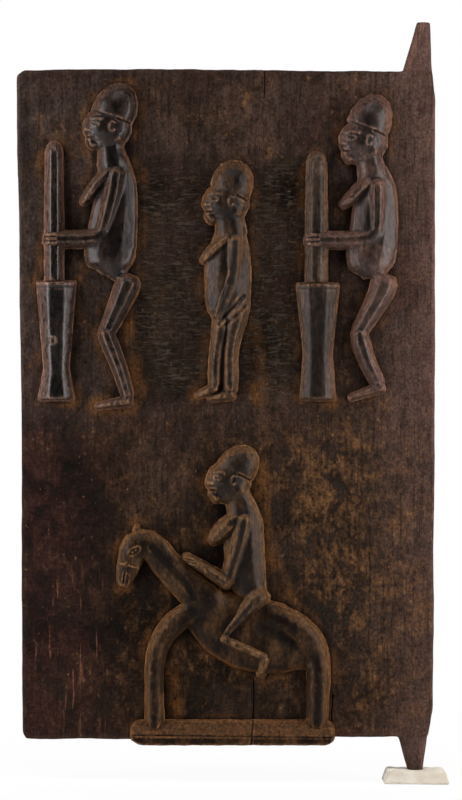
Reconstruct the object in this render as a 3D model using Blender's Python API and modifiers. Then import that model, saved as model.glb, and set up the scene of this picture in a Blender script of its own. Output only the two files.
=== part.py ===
"""Granary door: a hewn plank leaf carved in relief, turning on two pivot pins, and its pivot stone.

Sizes are in millimetres, and MM turns them into Blender's metres. The leaf is drawn flat, the way it
is carved: x to the right, y up, and z out of the plank towards the carver, measured from the tip of
the lower pin and from the cut-back ground of the plank. Everything on the leaf hangs from the empty
leaf_frame, which stands the drawing upright and plumbs the line through the tips of the two pins.
"""

import math

import bmesh
import bpy
from mathutils import Matrix, Vector

MM = 0.001

# Clearances
SEAM = 0.3  # between two carved forms, and between a form and the ground it stands on
CUP_CLEARANCE = 1.2  # round the lower pin, in the cup of the pivot stone

# Leaf
LEAF_WIDTH = 460.0  # along the top edge
LEAF_HEIGHT = 737.0
PLANK_THICKNESS = 26.0  # at the cut-back ground, without the relief
HINGE_EDGE = 20.5  # from the pivot line to the edge on the hinge side
FREE_EDGE_LEAN = 7.5  # how far the free edge leans in towards the foot
TOP_EDGE_FALL = 3.0  # how far the top edge falls towards the hinge
FOOT_EDGE_RISE = 3.0  # how far the bottom edge rises towards the hinge
CORNER_WEAR = 7.0  # worn off the top corner on the free side
EDGE_ROUNDING = 2.0

# Pivot pins, hewn from the same plank
UPPER_PIN_LENGTH = 55.5
LOWER_PIN_LENGTH = 38.5
UPPER_PIN_LEAN = 9.0  # how far its tip stands off the leaf's own upright
PIN_ROOT_WIDTH = 33.0
PIN_TIP_WIDTH = 14.5
PIN_BURY = 4.0  # how deep the pin's root runs on into the leaf
EDGE_SHOULDER = 30.0  # over this height by each pin the hinge edge draws in towards it
UPPER_DRAW_IN = 2.5
LOWER_DRAW_IN = 7.5

# Pivot stone
STONE_LENGTH = 74.0
STONE_DEPTH = 58.0
STONE_HEIGHT = 15.0
STONE_TAPER = 5.0  # how much narrower each side is at the top
STONE_ROUNDING = 2.5
CUP_DEPTH = 5.0

# Mortars: the half widths at the rim, waist and foot, and where the waist is
LEFT_MORTAR = {"height": 129.0, "rim": 20.5, "waist": 12.5, "foot": 19.0, "waist_height": 34.0}
RIGHT_MORTAR = {"height": 127.0, "rim": 22.5, "waist": 14.5, "foot": 18.5, "waist_height": 52.0}
MORTAR_RELIEF = 19.0

# Pestles: half width, the height of the tip over the mortar's foot, and how far off its middle it stands
LEFT_PESTLE = {"half_width": 9.2, "tip": 282.0, "offset": -2.5}
RIGHT_PESTLE = {"half_width": 10.8, "tip": 271.0, "offset": -1.5}
PESTLE_RELIEF = 13.0

# Plinth under the horse
PLINTH_LENGTH = 221.0
PLINTH_HEIGHT = 26.0
PLINTH_LIP = 11.0  # height of the upright front lip, below the sloping top
PLINTH_RELIEF = 21.0
PLINTH_END_RADIUS = 9.0
PLINTH_OVERHANG = 6.5  # how far it reaches below the bottom edge of the leaf

# Where the carvings stand on the leaf
UPPER_ROW_DROP = 363.5  # from the top edge down to the feet of the mortars
LEFT_MORTAR_INSET = 44.0  # from the free edge to the middle of the left mortar
RIGHT_MORTAR_INSET = 128.5  # from the hinge edge to the middle of the right mortar
CHILD_OFFSET = -0.5  # from the leaf's middle to the middle figure
PLINTH_OFFSET = 7.5  # from the leaf's middle to the middle of the plinth

# How far each kind of form stands out of the ground
RELIEF = {
    "torso": 15.0, "neck": 13.5, "breast": 17.0, "upper_arm": 21.5, "forearm": 19.5,
    "thigh": 18.0, "shin": 16.0, "foot": 13.0, "head": 17.5, "cap": 18.5, "jaw": 15.5, "profile": 10.0,
    "horse_body": 14.0, "horse_neck": 18.0, "horse_ear": 8.0, "haunch": 17.0,
    "fore_leg": 17.0, "hind_leg": 16.0,
}

# How far the middle line of a form is raised off the ground, which keeps its thin end standing proud
RAISED = {"upper_arm": 6.0, "forearm": 5.0, "shin": 3.0, "horse_neck": 5.0, "fore_leg": 3.0, "hind_leg": 3.0}

# The carved figures. Each form is a rod through points (x, y, half width), from the foot of the mortar
# for the two who pound, from the middle of its own footing for the middle figure, and from the middle
# of the plinth's underside for the horse and its rider. A head or a cap is (x, y, half length, half
# height, turn in degrees), and a cap ends at its rim, a line through two points.
LEFT_POUNDER = {
    "torso": [
        (62, 264, 15), (66, 238, 20), (64, 205, 23.5), (60, 172, 26.5), (58.5, 157, 26.5), (59, 147, 23.5), (60, 140, 17),
    ],
    "neck": [(59, 290, 13), (60, 276, 12.5), (62, 258, 16)],
    "breast": [(60, 250, 7), (47, 238, 6.8), (35, 223, 5.5), (29, 216, 3)],
    "upper_arm": [(66, 250, 9), (63, 230, 10), (56.5, 202, 8.8), (50, 181, 7.5)],
    "elbow": (48, 178),
    "grip_height": 176.0,
    "thigh": [(80, 130, 12), (76, 120, 12.5), (66, 97, 10), (55, 74, 7.5)],
    "shin": [(54, 74, 7.5), (58, 62, 8), (68, 38, 7), (78.5, 4, 5.6)],
    "foot": [(80.5, -2, 5), (66, -4, 4.2), (45, -8, 2.6)],
    "jaw": [(45, 282, 7), (55, 284, 10), (67, 291, 12)],
    "profile": [(42, 311, 4), (36.5, 303, 4), (34.5, 296, 4.5), (38, 290, 3.5), (37.5, 284, 4.5), (42, 279, 5)],
    "head": (56, 299, 26, 23, 0),
    "cap": (63.5, 317, 23, 31.5, -26),
    "cap_rim": ((34, 320), (88, 300)),
}
RIGHT_POUNDER = {
    "torso": [
        (60, 252, 14), (64, 232, 20), (63, 204, 23.5), (60.5, 172, 25.5), (58, 155, 25.5), (58, 145, 22.5), (59, 138, 16),
    ],
    "neck": [(55, 276, 13), (57, 262, 12.5), (60, 246, 15)],
    "breast": [(56, 239, 6.5), (46, 231, 6.5), (34, 219, 5.5), (26, 213, 3)],
    "upper_arm": [(65, 237, 8.5), (65, 220, 9.2), (65, 199, 8.5), (64, 182, 7.8)],
    "elbow": (62, 179),
    "grip_height": 175.0,
    "thigh": [(75, 130, 12), (70, 118, 12.5), (58, 96, 10), (46, 75, 8)],
    "shin": [(45, 74, 7.5), (48, 60, 9), (56, 38, 7.5), (66, 18, 6.5)],
    "foot": [(70, 13, 5), (57, 9, 4.2), (36, 2, 2.6)],
    "jaw": [(39, 267, 7), (49, 269, 10), (61, 276, 12)],
    "profile": [(36, 296, 4), (31, 288, 4), (29, 281, 4.5), (32, 275, 3.5), (31.5, 269, 4.5), (36, 264, 5)],
    "head": (50, 284, 26, 23, 0),
    "cap": (56, 303, 22.8, 33, -24),
    "cap_rim": ((28, 308), (82, 286)),
}
MIDDLE_FIGURE = {
    "torso": [(6, 186, 14), (5, 168, 20), (3, 142, 24), (3, 114, 23.5), (4, 98, 21.5), (3, 88, 16)],
    "neck": [(3, 208, 14), (5, 196, 14.5), (7, 182, 16)],
    "breast": [(4, 178, 5.5), (-9, 168, 5.8), (-19, 158, 4.8), (-24, 152, 3)],
    "upper_arm": [(11, 176, 8.5), (11, 164, 9.5), (10, 146, 8.5), (8, 133, 7.5)],
    "forearm": [(8, 131, 7.5), (4, 118, 7), (-3, 102, 6), (-8, 91, 5)],
    "thigh": [(14, 98, 10.5), (12, 88, 10.5), (7, 66, 8.5), (5, 48, 7.8), (5, 30, 8), (5, 10, 7.5)],
    "foot": [(8, 5, 5), (-2, 4, 4.6), (-17, 1, 2.8)],
    "far_leg": [(-4, 86, 8.5), (-7, 64, 7.3), (-10, 42, 6.5), (-11, 16, 6)],
    "far_foot": [(-10, 13, 4.8), (-19, 9, 4.4), (-31, 4, 2.4)],
    "jaw": [(-10, 200, 7), (0, 202, 10), (12, 209, 12)],
    "profile": [(-13, 230, 4), (-18, 221, 4), (-20, 214, 4.5), (-17, 208, 3.5), (-17.5, 202, 4.5), (-13, 197, 5)],
    "head": (1, 217, 25, 22, 0),
    "cap": (7.5, 236, 22, 26.5, -20),
    "cap_rim": ((-18, 238), (33, 214)),
}
RIDER = {
    "torso": [(11, 262, 14), (13, 244, 19), (13, 218, 20.5), (15, 190, 20), (20, 168, 16)],
    "neck": [(2, 284, 13), (6, 272, 13), (11, 258, 15)],
    "breast": [(6, 249, 8.5), (-6, 240, 9.5), (-16, 230, 8.5), (-22, 224, 4.5)],
    "upper_arm": [(13, 249, 8.5), (10, 232, 9.4), (2, 204, 8.4), (-5, 180, 7)],
    "forearm": [(-5, 178, 7.5), (-22, 188.5, 6.3), (-40, 199.5, 5), (-52, 207, 3.8)],
    "thigh": [(32, 165, 10.5), (24, 158, 10.5), (6, 138, 8.5), (-11, 118, 6)],
    "shin": [(-11, 118, 5.5), (8, 109, 6.5), (36, 97, 6)],
    "foot": [(36, 96, 6), (34, 88, 5.5), (31, 77, 3.5)],
    "jaw": [(-13, 274, 7), (-4, 276, 10), (8, 283, 11.5)],
    "profile": [(-17, 304, 4), (-22, 295, 4), (-24, 288, 4.5), (-21, 282, 3.5), (-21, 276, 4.5), (-16, 271, 5)],
    "head": (-4, 291, 24, 22, 0),
    "cap": (4.5, 304, 20.5, 27.5, -42),
    "cap_rim": ((-22, 312), (25, 288)),
    "lift": {"thigh": 5.0, "shin": 8.0, "foot": 10.0, "forearm": 5.0},
}
HORSE = {
    "horse_body": [(-40, 148, 19), (-16, 137, 33), (14, 124, 39), (45, 117, 38), (70, 108, 29), (84, 100, 18)],
    "horse_neck": [
        (-8, 143, 9), (-28, 159, 20), (-44, 172, 18), (-74, 201, 14.5), (-93, 221, 14.5), (-107, 218.5, 14),
        (-112, 204, 12.5), (-116.5, 190, 10.5), (-119.5, 178, 8),
    ],
    "horse_ear": [(-106, 229, 3.2), (-105.5, 237, 1.9), (-104.5, 241, 1.2)],
    "fore_leg": [
        (-34, 151, 4.5), (-50, 144, 11), (-67, 131, 11), (-81, 109, 9.5), (-86, 84, 8.5), (-86, 52, 8.5),
        (-85, 14, 9.5),
    ],
    "haunch": [(22, 140, 6), (42, 140, 14), (62, 131, 17), (80, 118, 16), (91, 101, 14), (95, 84, 11), (95, 68, 8)],
    "hind_leg": [(92, 100, 9), (94.5, 80, 11.5), (94, 50, 10.5), (92.5, 14, 10)],
}

# Colours: old oiled wood, darkest on the plank and browner where hands have worn it, and pale stone
COLOURS = {
    "pivot_stone": (0.62, 0.56, 0.48),
    "door_plank": (0.036, 0.022, 0.014),
    "left_mortar": (0.045, 0.031, 0.025),
    "left_pestle": (0.042, 0.029, 0.023),
    "left_pounder": (0.040, 0.026, 0.019),
    "right_mortar": (0.045, 0.031, 0.025),
    "right_pestle": (0.042, 0.029, 0.023),
    "right_pounder": (0.042, 0.027, 0.020),
    "middle_figure": (0.052, 0.032, 0.020),
    "plinth": (0.048, 0.029, 0.019),
    "horse": (0.050, 0.031, 0.020),
    "rider": (0.054, 0.034, 0.022),
}
WOOD_ROUGHNESS = 0.45
STONE_ROUGHNESS = 0.9

# Worked out from the sizes above
HALF_PLANK = PLANK_THICKNESS / 2
FREE_EDGE = HINGE_EDGE - LEAF_WIDTH
LEAF_FOOT = LOWER_PIN_LENGTH
LEAF_TOP = LEAF_FOOT + LEAF_HEIGHT
LEAF_MIDDLE = HINGE_EDGE - LEAF_WIDTH / 2
UPPER_ROW = LEAF_TOP - UPPER_ROW_DROP
PLINTH_FOOT = LEAF_FOOT - PLINTH_OVERHANG
UPPER_TIP_HEIGHT = LEAF_TOP - TOP_EDGE_FALL + UPPER_PIN_LENGTH
HANG_TILT = math.atan2(UPPER_PIN_LEAN, UPPER_TIP_HEIGHT)
UPPER_PIN_ROOT = HINGE_EDGE - UPPER_DRAW_IN - PIN_ROOT_WIDTH / 2
LOWER_PIN_ROOT = HINGE_EDGE - LOWER_DRAW_IN - PIN_ROOT_WIDTH / 2
SEAT_HEIGHT = STONE_HEIGHT - CUP_DEPTH + SEAM
OCTAGON_TURN = math.pi / 8  # puts a flat of an eight-sided rod to the front


def clear_scene():
    for obj in list(bpy.data.objects):
        bpy.data.objects.remove(obj, do_unlink=True)


def new_collection(name):
    collection = bpy.data.collections.new(name)
    bpy.context.scene.collection.children.link(collection)
    return collection


def give_material(node, roughness):
    """A material of the node's own, in its colour from the table."""
    material = bpy.data.materials.new(node.name)
    material.use_nodes = True
    shader = material.node_tree.nodes["Principled BSDF"]
    shader.inputs["Base Color"].default_value = (*COLOURS[node.name], 1.0)
    shader.inputs["Roughness"].default_value = roughness
    shader.inputs["Metallic"].default_value = 0.0
    node.data.materials.append(material)


def mesh_object(name, mesh, collection):
    obj = bpy.data.objects.new(name, mesh)
    collection.objects.link(obj)
    return obj


def object_from(bm, name, collection):
    bmesh.ops.recalc_face_normals(bm, faces=bm.faces)
    mesh = bpy.data.meshes.new(name)
    bm.to_mesh(mesh)
    bm.free()
    return mesh_object(name, mesh, collection)


def mesh_from_curve(curve_object, scale):
    """The curve's mesh with its caps welded on, stretched by scale. The curve is removed."""
    graph = bpy.context.evaluated_depsgraph_get()
    mesh = bpy.data.meshes.new_from_object(curve_object.evaluated_get(graph))
    bpy.data.objects.remove(curve_object)
    bm = bmesh.new()
    bm.from_mesh(mesh)
    bpy.data.meshes.remove(mesh)
    bmesh.ops.remove_doubles(bm, verts=bm.verts, dist=0.001 * MM)
    bmesh.ops.scale(bm, vec=scale, verts=bm.verts)
    return bm


def rounded_end(end, inner):
    """The extra point that rounds a rod off beyond its end."""
    x, y, half_width = end
    away = Vector((x - inner[0], y - inner[1])).normalized() * half_width
    return (x + 0.5 * away.x, y + 0.5 * away.y, 0.6 * half_width)


def rod(name, points, relief, grow=0.0, round_ends=True, raised=0.0):
    """A tapered eight-sided rod through points (x, y, half width), flattened to stand relief proud."""
    if round_ends:
        points = [rounded_end(points[0], points[1]), *points, rounded_end(points[-1], points[-2])]
    curve = bpy.data.curves.new(name, "CURVE")
    curve.dimensions = "3D"
    curve.twist_mode = "Z_UP"
    curve.resolution_u = 2
    curve.bevel_depth = MM
    curve.bevel_resolution = 2
    curve.use_fill_caps = True
    spline = curve.splines.new("BEZIER")
    spline.bezier_points.add(len(points) - 1)
    for knot, (x, y, half_width) in zip(spline.bezier_points, points):
        knot.co = (x * MM, y * MM, 0)
        knot.radius = (half_width + grow) / math.cos(OCTAGON_TURN)
        knot.tilt = OCTAGON_TURN
        knot.handle_left_type = knot.handle_right_type = "AUTO"
    widest = max(half_width for x, y, half_width in points)
    half_height = relief - raised
    bm = mesh_from_curve(mesh_object(name, curve, forms), (1, 1, (half_height + grow) / (widest + grow)))
    bmesh.ops.translate(bm, vec=(0, 0, raised * MM), verts=bm.verts)
    return object_from(bm, name, forms)


def egg(half_length, half_height, relief, turn, x, y):
    """A faceted egg as a bmesh, turned in the plane of the drawing."""
    bm = bmesh.new()
    bmesh.ops.create_uvsphere(bm, u_segments=14, v_segments=8, radius=MM)
    bmesh.ops.scale(bm, vec=(half_length, half_height, relief), verts=bm.verts)
    place = Matrix.Translation((x * MM, y * MM, 0)) @ Matrix.Rotation(math.radians(turn), 4, "Z")
    bmesh.ops.transform(bm, matrix=place, verts=bm.verts)
    return bm


def head(name, size, relief):
    x, y, half_length, half_height, turn = size
    return object_from(egg(half_length, half_height, relief, turn, x, y), name, forms)


def cap(name, size, rim, relief):
    """The part of an egg above its rim, closed along the rim."""
    x, y, half_length, half_height, turn = size
    bm = egg(half_length, half_height, relief, turn, x, y)
    front, back = (Vector((px, py, 0)) * MM for px, py in rim)
    along = back - front
    up = Vector((-along.y, along.x, 0))
    everything = list(bm.verts) + list(bm.edges) + list(bm.faces)
    bmesh.ops.bisect_plane(bm, geom=everything, plane_co=front, plane_no=up, clear_inner=True)
    bmesh.ops.holes_fill(bm, edges=[edge for edge in bm.edges if edge.is_boundary])
    return object_from(bm, name, forms)


def slab(name, outline, low, high, collection):
    """A flat outline [(x, y), ...] made solid from z low to z high."""
    curve = bpy.data.curves.new(name, "CURVE")
    curve.dimensions = "2D"
    curve.fill_mode = "BOTH"
    curve.extrude = (high - low) / 2 * MM
    spline = curve.splines.new("POLY")
    spline.points.add(len(outline) - 1)
    spline.use_cyclic_u = True
    for knot, (x, y) in zip(spline.points, outline):
        knot.co = (x * MM, y * MM, 0, 1)
    bm = mesh_from_curve(mesh_object(name, curve, collection), (1, 1, 1))
    bmesh.ops.translate(bm, vec=(0, 0, (high + low) / 2 * MM), verts=bm.verts)
    return object_from(bm, name, collection)


def boolean(obj, operation, other):
    """Joins, cuts or trims obj with another object, or with every object of a collection."""
    modifier = obj.modifiers.new(operation.lower(), "BOOLEAN")
    modifier.operation = operation
    modifier.solver = "EXACT"
    if isinstance(other, bpy.types.Collection):
        modifier.operand_type = "COLLECTION"
        modifier.collection = other
    else:
        modifier.object = other


def group_of(name, helpers):
    """Moves helper shapes into a hidden collection of their own."""
    collection = bpy.data.collections.new(name)
    forms.children.link(collection)
    for helper in helpers:
        forms.objects.unlink(helper)
        collection.objects.link(helper)
    return collection


def place_on_leaf(obj, x, y):
    obj.parent = leaf_frame
    obj.location = (x * MM, y * MM, 0)


def carve(name, shapes, x, y, cutters=()):
    """One carved node: shapes joined, cut clear of its neighbours and trimmed flat where it meets the ground."""
    first, *others = shapes
    mesh = first.data
    bpy.data.objects.remove(first)
    node = mesh_object(name, mesh, leaf)
    place_on_leaf(node, x, y)
    for helper in (*others, *cutters):
        place_on_leaf(helper, x, y)
    if others:
        boolean(node, "UNION", group_of(name + "_forms", others))
    if cutters:
        boolean(node, "DIFFERENCE", group_of(name + "_cutters", cutters))
    boolean(node, "INTERSECT", relief_zone)
    give_material(node, WOOD_ROUGHNESS)


def figure_shapes(pose):
    """The rods, head and cap of one carved person. What lies over another form is lifted clear of it."""
    rods = {
        "far_leg": "shin", "far_foot": "foot", "torso": "torso", "neck": "neck", "breast": "breast",
        "upper_arm": "upper_arm", "forearm": "forearm", "thigh": "thigh", "shin": "shin",
        "foot": "foot", "jaw": "jaw", "profile": "profile",
    }
    lift = pose.get("lift", {})
    shapes = []
    for key, kind in rods.items():
        if key in pose:
            relief = RELIEF[kind] + lift.get(key, 0.0)
            shapes.append(rod(key, pose[key], relief, raised=RAISED.get(kind, 0.0)))
    shapes.append(head("head", pose["head"], RELIEF["head"]))
    shapes.append(cap("cap", pose["cap"], pose["cap_rim"], RELIEF["cap"]))
    return shapes


def horse_shapes(grow=0.0):
    return [rod(key, points, RELIEF[key], grow, raised=RAISED.get(key, 0.0)) for key, points in HORSE.items()]


def mortar(name, sizes, x):
    height, waist_height = sizes["height"], sizes["waist_height"]
    profile = [
        (0, 0, sizes["foot"]),
        (0, waist_height, sizes["waist"]),
        (0, (waist_height + height) / 2, (sizes["waist"] + sizes["rim"]) / 2),
        (0, height, sizes["rim"]),
    ]
    carve(name, [rod(name, profile, MORTAR_RELIEF, round_ends=False)], x, UPPER_ROW)


def pestle_shape(name, sizes, foot, grow=0.0):
    half_width, tip, x = sizes["half_width"], sizes["tip"], sizes["offset"]
    points = [
        (x, foot, half_width),
        (x, (foot + tip) / 2, half_width),
        (x, tip - half_width, half_width * 0.9),
        (x, tip - half_width * 0.3, half_width * 0.65),
        (x, tip, half_width * 0.3),
    ]
    return rod(name, points, PESTLE_RELIEF, grow, round_ends=False)


def pounder(name, pose, pestle, mortar_height, x):
    """A standing figure whose forearm reaches to the pestle and whose hand closes round it."""
    pestle_x, half_width, height = pestle["offset"], pestle["half_width"], pose["grip_height"]
    wrist = pestle_x + half_width + 5
    elbow_x, elbow_y = pose["elbow"]
    forearm = [
        (elbow_x, elbow_y, 9), ((elbow_x + wrist) / 2, height, 8.5), (wrist, height, 8.2),
        (pestle_x, height, 9.5), (pestle_x - half_width + 3, height + 1, 9),
    ]
    round_pestle = pestle_shape(name + "_pestle_cut", pestle, mortar_height, SEAM)
    carve(name, figure_shapes({**pose, "forearm": forearm}), x, UPPER_ROW, [round_pestle])


def pounding_group(side, mortar_sizes, pestle, pose, x):
    """A mortar, the pestle standing in it, and the figure who pounds."""
    mortar(side + "_mortar", mortar_sizes, x)
    pestle_foot = mortar_sizes["height"] + SEAM
    carve(side + "_pestle", [pestle_shape(side + "_pestle", pestle, pestle_foot)], x, UPPER_ROW)
    pounder(side + "_pounder", pose, pestle, mortar_sizes["height"], x)


def plinth_shape(name, grow=0.0):
    """A bar with rounded ends, an upright lip in front and a top that slopes back to the ground."""
    end, half_length = PLINTH_LENGTH / 2 - PLINTH_END_RADIUS, PLINTH_LENGTH / 2
    corner_steps = 4
    outline = []
    for side, start in ((1, -90), (1, 0), (-1, 90), (-1, 180)):
        up = PLINTH_HEIGHT - PLINTH_END_RADIUS if 0 <= start <= 90 else PLINTH_END_RADIUS
        for step in range(corner_steps + 1):
            angle = math.radians(start + 90 * step / corner_steps)
            reach = PLINTH_END_RADIUS + grow
            outline.append((side * end + reach * math.cos(angle), up + reach * math.sin(angle)))
    bar = slab(name, outline, -PLINTH_RELIEF, PLINTH_RELIEF + grow, forms)
    front, back = Vector((PLINTH_LIP + grow, PLINTH_RELIEF)), Vector((PLINTH_HEIGHT + grow, PLINTH_RELIEF / 4))
    fall = math.atan2(front.y - back.y, back.x - front.x)
    bm = bmesh.new()
    bm.from_mesh(bar.data)
    slope_normal = Vector((0, math.sin(fall), math.cos(fall)))
    slope_point = Vector((0, front.x, front.y + grow)) * MM
    everything = list(bm.verts) + list(bm.edges) + list(bm.faces)
    bmesh.ops.bisect_plane(bm, geom=everything, plane_co=slope_point, plane_no=slope_normal, clear_outer=True)
    bmesh.ops.holes_fill(bm, edges=[edge for edge in bm.edges if edge.is_boundary])
    bpy.data.objects.remove(bar)
    return object_from(bm, name, forms)


def pin(name, root_x, root_y, tip_x, tip_y):
    """An eight-sided pivot pin, tapering from the plank's section to a small square-set tip."""
    bm = bmesh.new()
    flat_to_front = Matrix.Rotation(OCTAGON_TURN, 4, "Z")
    corner = MM / math.cos(OCTAGON_TURN)
    bmesh.ops.create_cone(bm, cap_ends=True, segments=8, radius1=corner, radius2=corner, depth=2 * MM, matrix=flat_to_front)
    for vert in bm.verts:
        at_tip = vert.co.z > 0
        half_width = PIN_TIP_WIDTH / 2 if at_tip else PIN_ROOT_WIDTH / 2
        half_depth = PIN_TIP_WIDTH / 2 if at_tip else HALF_PLANK - SEAM
        x, y = (tip_x, tip_y) if at_tip else (root_x, root_y)
        across, through = vert.co.x, vert.co.y
        vert.co = (x * MM + across * half_width, y * MM, -HALF_PLANK * MM + through * half_depth)
    return object_from(bm, name, forms)


def plank():
    """The hewn leaf with its two pivot pins, in one piece of wood."""
    hinge_top, hinge_foot = LEAF_TOP - TOP_EDGE_FALL, LEAF_FOOT + FOOT_EDGE_RISE
    outline = [
        (HINGE_EDGE - UPPER_DRAW_IN, hinge_top),
        (FREE_EDGE + LEAF_WIDTH / 3, LEAF_TOP),
        (FREE_EDGE + CORNER_WEAR, LEAF_TOP - 1),
        (FREE_EDGE, LEAF_TOP - CORNER_WEAR),
        (FREE_EDGE + FREE_EDGE_LEAN - 2, LEAF_FOOT + LEAF_HEIGHT / 2),
        (FREE_EDGE + FREE_EDGE_LEAN - 1, LEAF_FOOT + CORNER_WEAR),
        (FREE_EDGE + FREE_EDGE_LEAN + 3, LEAF_FOOT),
        (FREE_EDGE + LEAF_WIDTH / 3, LEAF_FOOT),
        (HINGE_EDGE - LOWER_DRAW_IN, hinge_foot),
        (HINGE_EDGE - 2, hinge_foot + EDGE_SHOULDER),
        (HINGE_EDGE, LEAF_FOOT + LEAF_HEIGHT / 2),
        (HINGE_EDGE + 1, hinge_top - EDGE_SHOULDER),
    ]
    node = slab("door_plank", outline, -PLANK_THICKNESS, 0, leaf)
    pins = [
        pin("upper_pin", UPPER_PIN_ROOT, hinge_top - PIN_BURY, UPPER_PIN_LEAN, UPPER_TIP_HEIGHT),
        pin("lower_pin", LOWER_PIN_ROOT, hinge_foot + PIN_BURY, 0, 0),
    ]
    for obj in (node, *pins):
        place_on_leaf(obj, 0, 0)
    boolean(node, "UNION", group_of("door_plank_pins", pins))
    rounding = node.modifiers.new("worn edges", "BEVEL")
    rounding.width = EDGE_ROUNDING * MM
    rounding.segments = 2
    rounding.limit_method = "ANGLE"
    give_material(node, WOOD_ROUGHNESS)


def stone_cup():
    """The hollow for the lower pin, which widens upwards as the pin does."""
    corner = 1 / math.cos(OCTAGON_TURN)
    floor_radius = PIN_TIP_WIDTH / 2 * corner + CUP_CLEARANCE
    spread = (PIN_ROOT_WIDTH - PIN_TIP_WIDTH) / 2 * corner + abs(LOWER_PIN_ROOT)
    pin_run = LOWER_PIN_LENGTH + FOOT_EDGE_RISE + PIN_BURY
    cutter_height = 2 * CUP_DEPTH
    top_radius = floor_radius + spread * cutter_height / pin_run
    bm = bmesh.new()
    middle = Matrix.Translation((0, 0, STONE_HEIGHT * MM))
    bmesh.ops.create_cone(bm, cap_ends=True, segments=24, radius1=floor_radius * MM, radius2=top_radius * MM,
                          depth=cutter_height * MM, matrix=middle)
    return object_from(bm, "stone_cup", forms)


def pivot_stone():
    """A flat stone with a round cup for the tip of the lower pin."""
    bm = bmesh.new()
    bmesh.ops.create_cube(bm, size=2 * MM)
    for vert in bm.verts:
        taper = STONE_TAPER if vert.co.z > 0 else 0
        height = STONE_HEIGHT if vert.co.z > 0 else 0
        vert.co.x *= STONE_LENGTH / 2 - taper
        vert.co.y *= STONE_DEPTH / 2 - taper
        vert.co.z = height * MM
    node = object_from(bm, "pivot_stone", base)
    rounding = node.modifiers.new("weathered edges", "BEVEL")
    rounding.width = STONE_ROUNDING * MM
    rounding.segments = 3
    boolean(node, "DIFFERENCE", stone_cup())
    give_material(node, STONE_ROUGHNESS)


def hide_helpers(collection):
    for obj in collection.all_objects:
        obj.hide_render = True
        obj.display_type = "WIRE"


def build_leaf():
    plank()
    left_x, right_x = FREE_EDGE + LEFT_MORTAR_INSET, HINGE_EDGE - RIGHT_MORTAR_INSET
    pounding_group("left", LEFT_MORTAR, LEFT_PESTLE, LEFT_POUNDER, left_x)
    pounding_group("right", RIGHT_MORTAR, RIGHT_PESTLE, RIGHT_POUNDER, right_x)
    carve("middle_figure", figure_shapes(MIDDLE_FIGURE), LEAF_MIDDLE + CHILD_OFFSET, UPPER_ROW)
    plinth_x = LEAF_MIDDLE + PLINTH_OFFSET
    carve("plinth", [plinth_shape("plinth")], plinth_x, PLINTH_FOOT)
    carve("horse", horse_shapes(), plinth_x, PLINTH_FOOT, [plinth_shape("horse_plinth_cut", SEAM)])
    carve("rider", figure_shapes(RIDER), plinth_x, PLINTH_FOOT, horse_shapes(SEAM))


def relief_block():
    """Everything in front of the ground, one seam clear of it: carved forms are trimmed to this."""
    margin = 100.0
    deepest = 2 * max(RELIEF.values())
    outline = [
        (FREE_EDGE - margin, -margin), (HINGE_EDGE + margin, -margin),
        (HINGE_EDGE + margin, LEAF_TOP + margin), (FREE_EDGE - margin, LEAF_TOP + margin),
    ]
    block = slab("relief_zone", outline, SEAM, deepest, forms)
    place_on_leaf(block, 0, 0)
    return block


clear_scene()
leaf = new_collection("granary_door")
base = new_collection("granary_door_base")
forms = new_collection("carving_helpers")

leaf_frame = bpy.data.objects.new("leaf_frame", None)
leaf.objects.link(leaf_frame)
upright = Matrix.Rotation(math.radians(90), 4, "X")
plumb = Matrix.Rotation(-HANG_TILT, 4, "Y")
leaf_frame.matrix_world = Matrix.Translation((0, -HALF_PLANK * MM, SEAT_HEIGHT * MM)) @ plumb @ upright

relief_zone = relief_block()
pivot_stone()
build_leaf()
hide_helpers(forms)
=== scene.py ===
"""Looks of the carved granary door: hewn plank, worn relief figures, pivot stone, studio and camera.

The leaf is worked on in its own drawing frame, in millimetres: x to the right, y up, z out of the plank
towards the viewer, from the tip of the lower pivot pin and from the ground of the plank. LEAF turns that
frame into world metres.
"""

import math

import bmesh
import bpy
import numpy as np
from mathutils import Matrix, Vector, noise
from mathutils.kdtree import KDTree


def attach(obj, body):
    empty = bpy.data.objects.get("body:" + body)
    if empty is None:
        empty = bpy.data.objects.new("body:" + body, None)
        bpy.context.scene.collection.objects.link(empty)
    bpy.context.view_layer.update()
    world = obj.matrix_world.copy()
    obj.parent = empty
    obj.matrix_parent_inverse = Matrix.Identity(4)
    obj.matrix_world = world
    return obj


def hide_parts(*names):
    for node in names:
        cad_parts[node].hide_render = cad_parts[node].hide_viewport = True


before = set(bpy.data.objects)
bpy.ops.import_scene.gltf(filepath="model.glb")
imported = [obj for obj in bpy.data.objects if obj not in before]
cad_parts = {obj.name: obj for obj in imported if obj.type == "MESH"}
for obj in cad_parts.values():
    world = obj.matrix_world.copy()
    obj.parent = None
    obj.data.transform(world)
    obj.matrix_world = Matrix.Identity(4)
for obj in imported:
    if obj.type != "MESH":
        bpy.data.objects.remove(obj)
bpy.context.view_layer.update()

# The drawing frame of the leaf
MILLIMETRE = 0.001
UPPER_PIN_LEAN = 9.0
UPPER_TIP_HEIGHT = 828.0
HANG_TILT = math.atan2(UPPER_PIN_LEAN, UPPER_TIP_HEIGHT)
HALF_PLANK = 13.0
SEAT_HEIGHT = 10.3
LEAF = (
    Matrix.Scale(MILLIMETRE, 4)
    @ Matrix.Translation((0, -HALF_PLANK, SEAT_HEIGHT))
    @ Matrix.Rotation(-HANG_TILT, 4, "Y")
    @ Matrix.Rotation(math.radians(90), 4, "X")
)
LEAF_TOP = 775.5
LEAF_FOOT = 38.5
FREE_EDGE = -439.5
HINGE_EDGE = 20.5

# Where each carved group is measured from
LEFT_GROUP = (-395.5, 412.0)
RIGHT_GROUP = (-108.0, 412.0)
MIDDLE = (-210.0, 412.0)
PLINTH = (-202.0, 32.0)

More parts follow.
